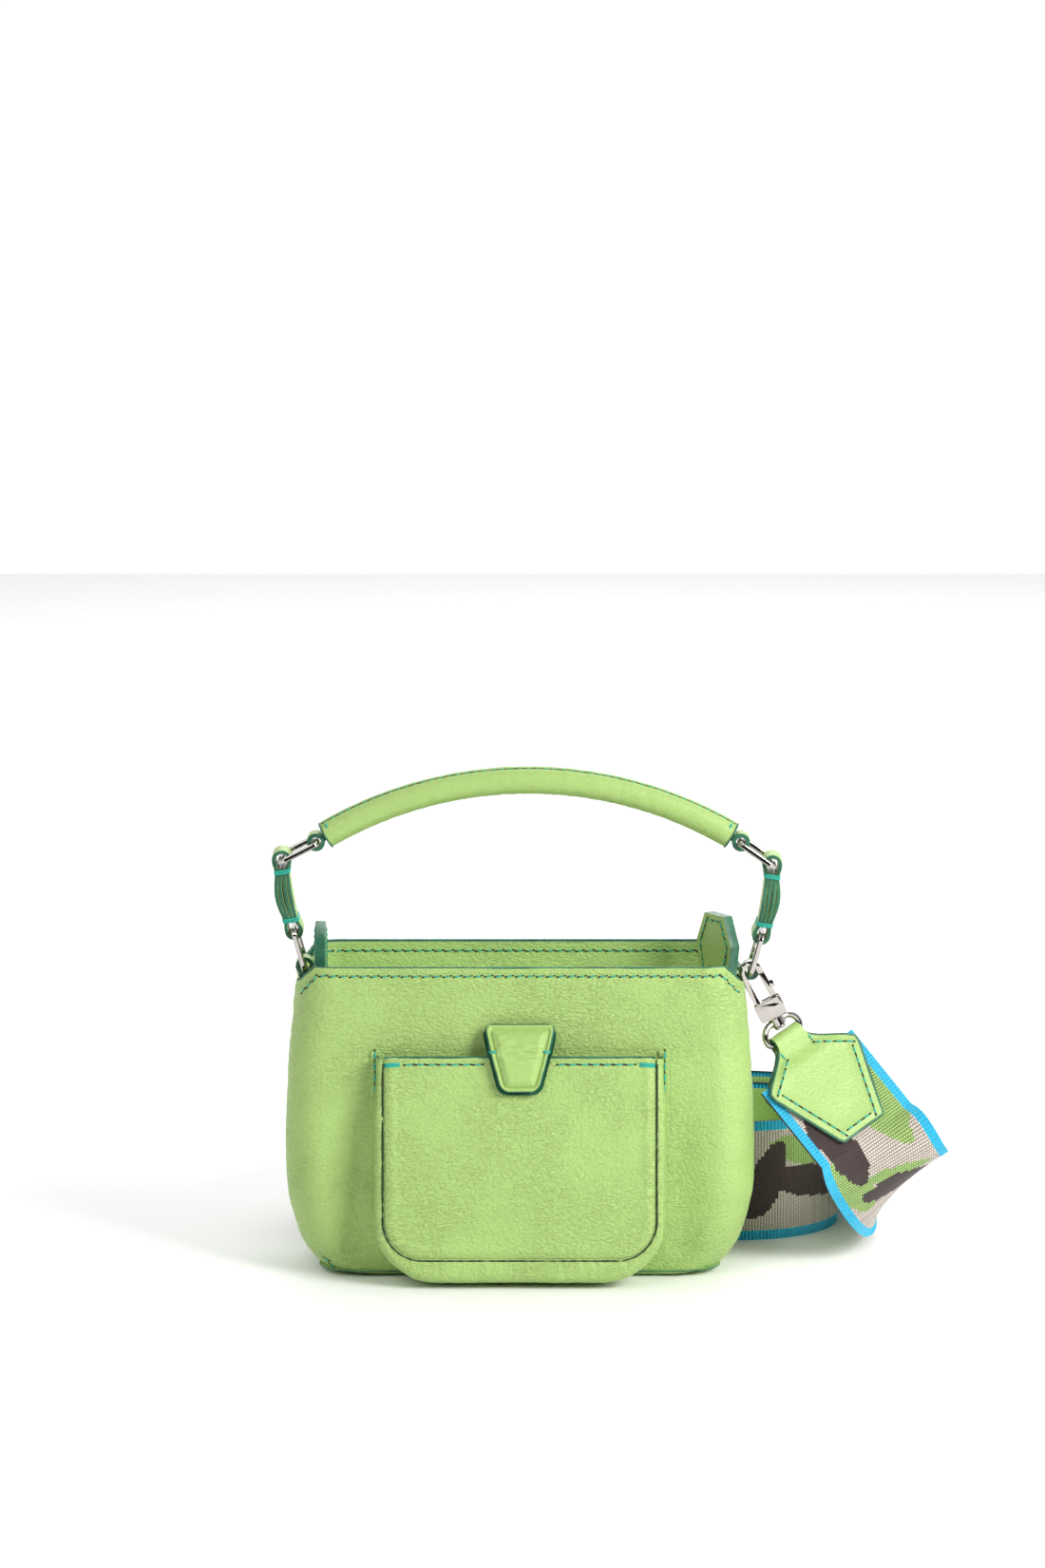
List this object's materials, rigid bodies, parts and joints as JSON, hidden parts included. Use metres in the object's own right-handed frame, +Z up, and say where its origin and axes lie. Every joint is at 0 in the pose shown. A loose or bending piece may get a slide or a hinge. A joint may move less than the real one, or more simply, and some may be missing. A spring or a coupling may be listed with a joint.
{
  "type": "handbag",
  "caption": "Small top-handle leather bag with a front pocket and tab, a rolled handle on rectangular rings, and a clipped-on wide webbing shoulder strap.",
  "frame": {"origin": "centre of the bag's underside, on the floor", "axes": "+X to the right seen from the pocket side, +Y to the back, +Z up"},
  "size_m": [0.2759, 0.1989, 0.2045],
  "materials": {
    "leather": "fine pebbled grain, satin, edges painted dark green",
    "lining_leather": "smooth green leather lining",
    "board": "plain stiffener",
    "foam": "soft filler, not seen",
    "magnet_steel": "plated disc, not seen",
    "nickel": "polished warm nickel",
    "spring_steel": "wire",
    "webbing": "woven blotch pattern in cream, brown and lime with blue selvedges",
    "thread": "waxed teal thread"
  },
  "bodies": {
    "bag": {"front_panel": "leather", "back_panel": "leather", "gusset_left": "leather", "gusset_right": "leather", "base_panel": "leather", "lining": "lining_leather", "base_board": "board", "side_tab_left": "leather", "side_tab_right": "leather", "ring_loop_left": "leather", "ring_loop_right": "leather", "pocket_front": "leather", "pocket_gusset": "leather", "pocket_magnet": "magnet_steel", "closure_tab_base": "leather", "strap_webbing": "webbing", "strap_backing": "lining_leather", "strap_end_tab_a": "leather", "strap_end_tab_b": "leather", "swivel_ring_a": "nickel"},
    "handle": {"handle_cover": "leather", "handle_core": "foam", "handle_loop_left": "leather", "handle_loop_right": "leather"},
    "upper_ring_left": {"upper_ring_left": "nickel"},
    "upper_ring_right": {"upper_ring_right": "nickel"},
    "lower_ring_left": {"lower_ring_left": "nickel"},
    "lower_ring_right": {"lower_ring_right": "nickel"},
    "link_left": {"link_strap_left": "leather", "link_tacks_left": "thread"},
    "link_right": {"link_strap_right": "leather", "link_tacks_right": "thread"},
    "flap": {"closure_flap": "leather", "flap_padding": "foam", "flap_lining": "leather", "flap_magnet": "magnet_steel"},
    "hook_a": {"hook_a": "nickel", "gate_pin_a": "nickel", "gate_spring_a": "spring_steel", "swivel_rivet_a": "nickel"},
    "gate_a": {"gate_a": "nickel"},
    "swivel_b": {"swivel_ring_b": "nickel"},
    "hook_b": {"hook_b": "nickel", "gate_pin_b": "nickel", "gate_spring_b": "spring_steel", "swivel_rivet_b": "nickel"},
    "gate_b": {"gate_b": "nickel"}
  },
  "joints": [
    {"name": "handle_drop", "type": "slide", "parent": "bag", "child": "handle", "axis": [0, 0, -1], "range_m": [0, 0.014]},
    {"name": "lower_ring_left_turn", "type": "hinge", "parent": "bag", "child": "lower_ring_left", "pos_m": [-0.0873, 0, 0.1232], "axis": [0, -1, 0], "range_deg": [0, 32.93]},
    {"name": "link_left_turn", "type": "hinge", "parent": "lower_ring_left", "child": "link_left", "pos_m": [-0.09144, 0, 0.13814], "axis": [0, -1, 0], "range_deg": [-43.72, 0]},
    {"name": "upper_ring_left_turn", "type": "hinge", "parent": "handle", "child": "upper_ring_left", "pos_m": [-0.0825, 0, 0.17427], "axis": [0, -1, 0], "range_deg": [-39.9, 0]},
    {"name": "lower_ring_right_turn", "type": "hinge", "parent": "bag", "child": "lower_ring_right", "pos_m": [0.0936, 0, 0.1212], "axis": [0, 1, 0], "range_deg": [0, 33.59]},
    {"name": "link_right_turn", "type": "hinge", "parent": "lower_ring_right", "child": "link_right", "pos_m": [0.09787, 0, 0.1361], "axis": [0, 1, 0], "range_deg": [-41.79, 0]},
    {"name": "upper_ring_right_turn", "type": "hinge", "parent": "handle", "child": "upper_ring_right", "pos_m": [0.08954, 0, 0.17417], "axis": [0, 1, 0], "range_deg": [-40.2, 0]},
    {"name": "pocket_tab_lift", "type": "hinge", "parent": "bag", "child": "flap", "pos_m": [0, -0.04591, 0.096], "axis": [-1, 0, 0], "range_deg": [0, 105]},
    {"name": "hook_a_swivel", "type": "hinge", "parent": "bag", "child": "hook_a", "pos_m": [0.0936, -0.00625, 0.1212], "axis": [0.4706, 0.0461, -0.8811], "range_deg": [-6, 6]},
    {"name": "gate_a_open", "type": "hinge", "parent": "hook_a", "child": "gate_a", "pos_m": [0.10392, -0.00556, 0.10973], "axis": [0.0217, -0.9989, -0.0406], "range_deg": [0, 18], "stiffness_Nm_per_rad": 0.004, "springref_deg": -20.05, "deforming": ["gate_spring_a"]},
    {"name": "swivel_ring_b_fold", "type": "hinge", "parent": "bag", "child": "swivel_b", "pos_m": [-0.02, 0.119, 0.025], "axis": [0, 0, 1], "range_deg": [-20, 60]},
    {"name": "hook_b_swivel", "type": "hinge", "parent": "swivel_b", "child": "hook_b", "pos_m": [-0.051, 0.119, 0.025], "axis": [1, 0, 0], "range_deg": [-90, 90]},
    {"name": "gate_b_open", "type": "hinge", "parent": "hook_b", "child": "gate_b", "pos_m": [-0.036, 0.119, 0.0213], "axis": [0, 1, 0], "range_deg": [0, 18], "stiffness_Nm_per_rad": 0.004, "springref_deg": -20.05, "deforming": ["gate_spring_b"]}
  ],
  "couplings": [
    {"joint": "lower_ring_left_turn", "follows": "handle_drop", "rad_per_m": 40.31},
    {"joint": "link_left_turn", "follows": "handle_drop", "rad_per_m": -53.76},
    {"joint": "upper_ring_left_turn", "follows": "handle_drop", "rad_per_m": -48.99},
    {"joint": "lower_ring_right_turn", "follows": "handle_drop", "rad_per_m": 41.13},
    {"joint": "link_right_turn", "follows": "handle_drop", "rad_per_m": -51.35},
    {"joint": "upper_ring_right_turn", "follows": "handle_drop", "rad_per_m": -49.37}
  ]
}
